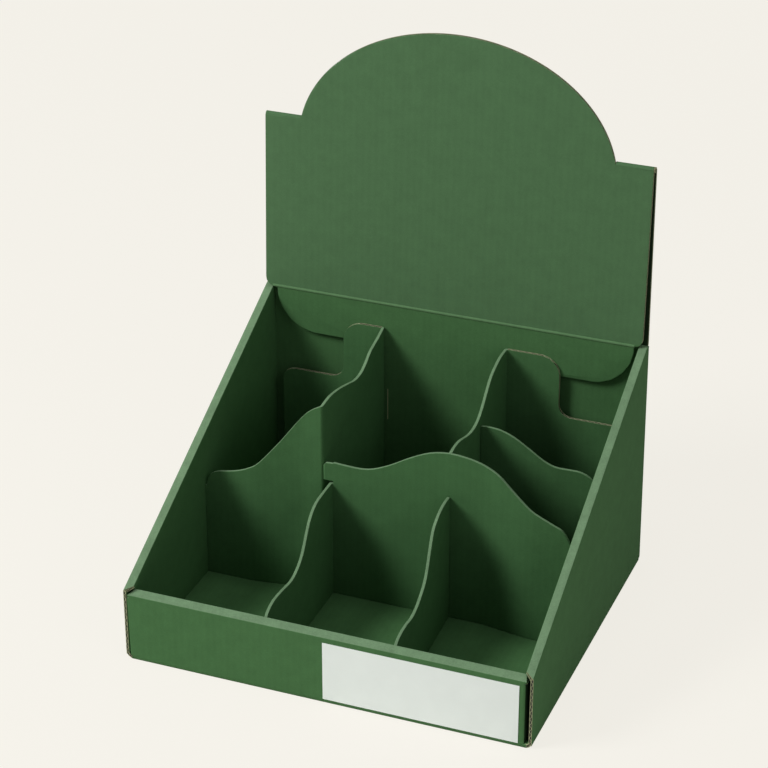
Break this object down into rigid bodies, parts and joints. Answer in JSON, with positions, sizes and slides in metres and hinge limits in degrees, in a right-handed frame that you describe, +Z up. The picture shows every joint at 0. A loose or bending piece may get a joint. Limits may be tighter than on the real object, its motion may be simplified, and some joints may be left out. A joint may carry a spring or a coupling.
{
  "type": "counter display box",
  "caption": "Corrugated board display tray with sloping double sides, wavy dividers, a raised arched header and a blank front label.",
  "frame": {"origin": "under the middle of the box, at the underside of its base", "axes": "+X to the right as seen from the front, +Y towards the back wall and header, +Z up"},
  "size_m": [0.3, 0.261, 0.3937],
  "materials": {
    "outer_board": "matte printed board",
    "inner_board": "matte printed board",
    "label_paper": "smooth matte paper"
  },
  "bodies": {
    "root": {"tray": "outer_board", "rear_left_divider": "inner_board", "right_divider": "inner_board", "cross_wall": "inner_board", "rear_cross_panel": "inner_board", "front_label": "label_paper"}
  },
  "joints": []
}
